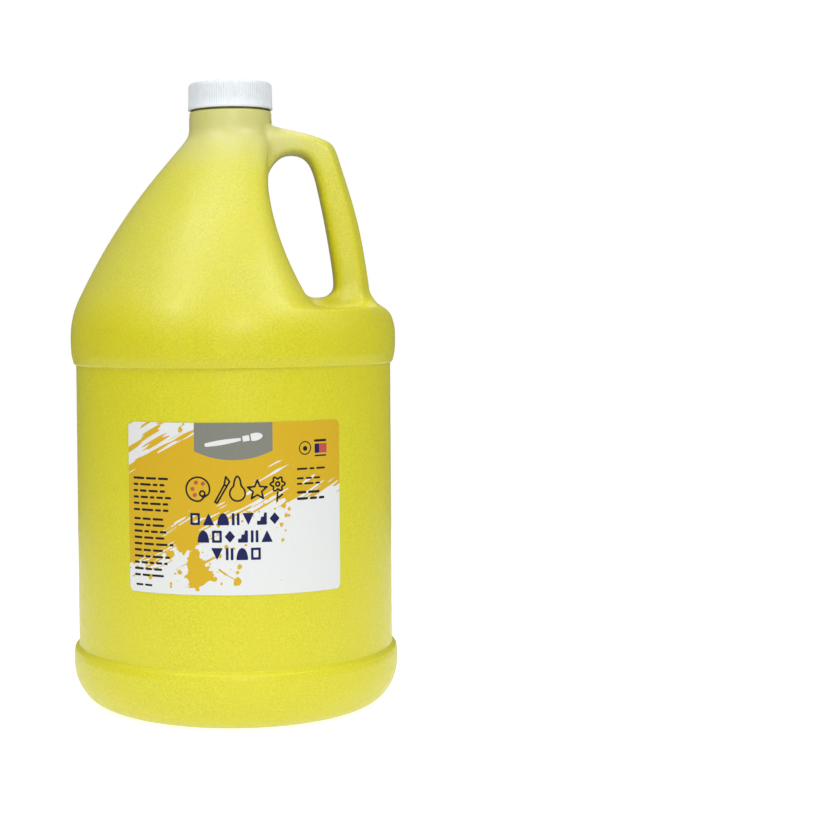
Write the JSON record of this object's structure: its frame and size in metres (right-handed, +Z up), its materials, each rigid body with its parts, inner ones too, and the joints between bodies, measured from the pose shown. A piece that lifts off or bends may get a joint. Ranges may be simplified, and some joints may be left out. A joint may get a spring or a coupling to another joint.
{
  "type": "paint jar",
  "caption": "Round plastic paint jug with a side handle, ribbed screw cap, foam liner and curved front label, filled with yellow paint.",
  "frame": {"origin": "middle of the base, in the plane that the jug stands on", "axes": "+Z up the neck, +X towards the handle, -Y towards the label"},
  "size_m": [0.156, 0.156, 0.2959],
  "materials": {
    "jug": "frosted satin blow-moulded polyethylene, tinted by the paint behind it",
    "cap": "satin moulded polypropylene",
    "liner": "matte closed-cell foam",
    "label": "semi-gloss printed label stock",
    "paint": "wet water-based paint"
  },
  "bodies": {
    "jug": {"jug_body": "jug", "front_label": "label", "paint_fill": "paint"},
    "liner": {"cap_liner": "liner"},
    "cap": {"screw_cap": "cap"}
  },
  "joints": [
    {"name": "cap_lift", "type": "slide", "parent": "jug", "child": "liner", "axis": [0, 0, 1], "range_m": [0, 0.0256]},
    {"name": "cap_turn", "type": "hinge", "parent": "liner", "child": "cap", "pos_m": [0, 0, 0.283], "axis": [0, 0, 1], "range_deg": [0, 2160]}
  ],
  "couplings": [
    {"joint": "cap_lift", "follows": "cap_turn", "m_per_rad": 0.00067376}
  ]
}
